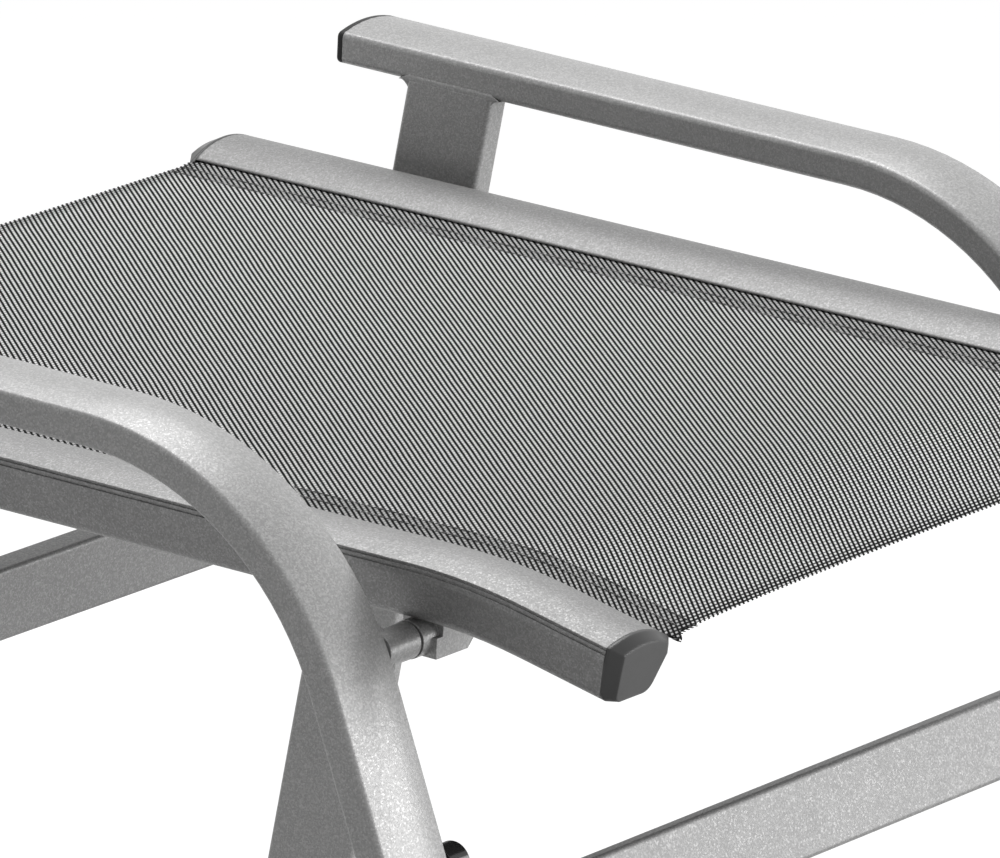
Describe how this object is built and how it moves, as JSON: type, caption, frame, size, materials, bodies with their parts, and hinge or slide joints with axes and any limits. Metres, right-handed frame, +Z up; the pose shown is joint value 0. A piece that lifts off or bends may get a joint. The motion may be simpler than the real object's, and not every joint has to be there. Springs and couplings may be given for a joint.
{
  "type": "stacking garden stool",
  "caption": "Backless garden stool with a stretched mesh sling between two seat rails, carried by bent flat-tube side frames with raised arm bars.",
  "frame": {"origin": "on the floor, under the middle of the bounding box", "axes": "+Z up, -Y toward the front of the seat, +X toward the sitter's left"},
  "size_m": [0.5676, 0.6086, 0.475],
  "materials": {
    "frame_coat": "satin silver powder coat with a fine sparkle",
    "rail_coat": "satin silver powder coat on an extrusion",
    "bracket_coat": "satin silver powder coat",
    "cap_plastic": "moulded, satin",
    "foot_plastic": "moulded, matt",
    "sling_mesh": "open woven mesh of coated yarn",
    "rod_plastic": "extruded, smooth",
    "washer_plastic": "moulded, matt",
    "fastener_steel": "zinc plated",
    "buffer_rubber": "matt"
  },
  "bodies": {
    "root": {"bolt_washers": "fastener_steel", "buffer_screws": "fastener_steel", "front_crossbar": "frame_coat", "gap_washers": "washer_plastic", "left_arch_tube": "frame_coat", "left_arm_cap": "cap_plastic", "left_front_foot": "foot_plastic", "left_front_rail_cap": "cap_plastic", "left_front_seat_bracket": "bracket_coat", "left_front_seat_stub": "bracket_coat", "left_rear_foot": "foot_plastic", "left_rear_leg": "frame_coat", "left_rear_rail_cap": "cap_plastic", "left_rear_seat_bracket": "bracket_coat", "left_rear_seat_stub": "bracket_coat", "left_seat_rail": "rail_coat", "left_sling_rod": "rod_plastic", "left_stacking_buffer": "buffer_rubber", "rear_crossbar": "frame_coat", "right_arch_tube": "frame_coat", "right_arm_cap": "cap_plastic", "right_front_foot": "foot_plastic", "right_front_rail_cap": "cap_plastic", "right_front_seat_bracket": "bracket_coat", "right_front_seat_stub": "bracket_coat", "right_rear_foot": "foot_plastic", "right_rear_leg": "frame_coat", "right_rear_rail_cap": "cap_plastic", "right_rear_seat_bracket": "bracket_coat", "right_rear_seat_stub": "bracket_coat", "right_seat_rail": "rail_coat", "right_sling_rod": "rod_plastic", "right_stacking_buffer": "buffer_rubber", "seat_bolts": "fastener_steel", "sling": "sling_mesh"}
  },
  "joints": []
}
